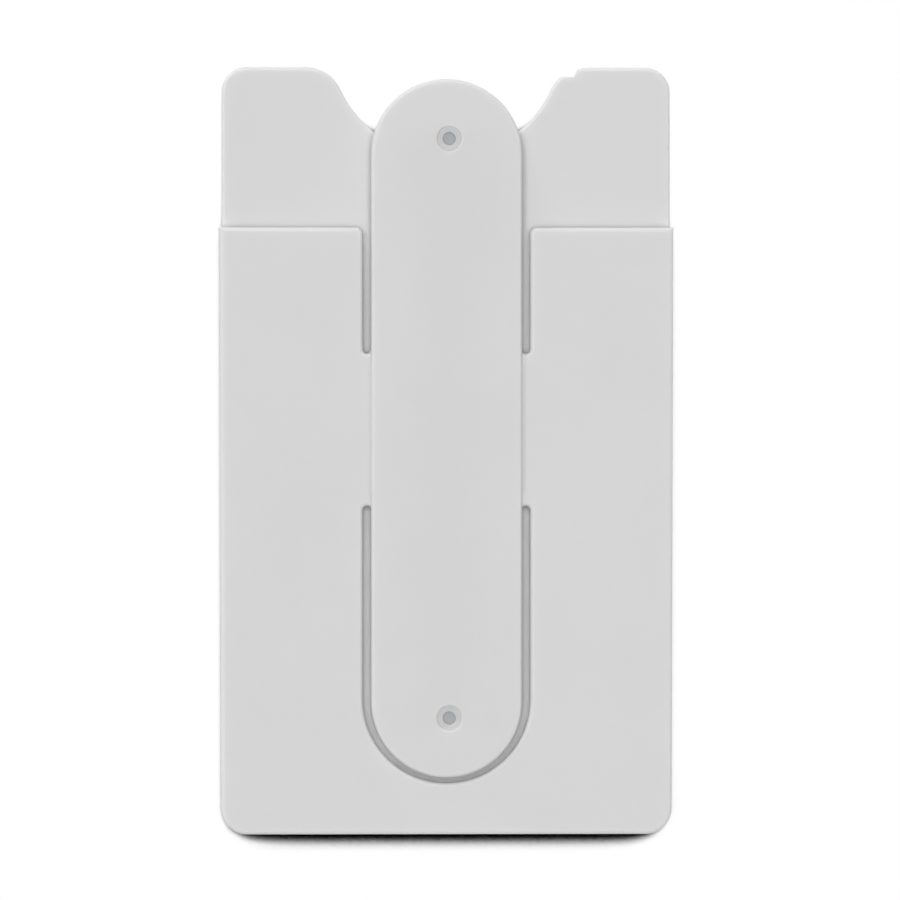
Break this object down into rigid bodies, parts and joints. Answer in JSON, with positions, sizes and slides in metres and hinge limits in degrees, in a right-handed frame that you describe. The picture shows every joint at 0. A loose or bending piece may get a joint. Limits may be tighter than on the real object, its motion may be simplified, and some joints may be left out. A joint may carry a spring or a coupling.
{
  "type": "silicone phone wallet",
  "caption": "Stick-on silicone card pocket with ears, a thumb notch and a raised snap strap between slots, which folds out as a stand.",
  "frame": {"origin": "under the middle of the wallet's outline, on the outer face of the release liner on its back", "axes": "+Z out of the wallet's front, +Y along its length towards the ears at the open end, +X to the right seen from the front"},
  "size_m": [0.0574, 0.0964, 0.0045],
  "materials": {
    "silicone": "satin",
    "spring_steel": "satin",
    "adhesive": "matte",
    "liner_paper": "satin"
  },
  "bodies": {
    "root": {"silicone_wallet": "silicone", "spring_strip": "spring_steel", "adhesive_sheet": "adhesive", "release_liner": "liner_paper"}
  },
  "joints": []
}
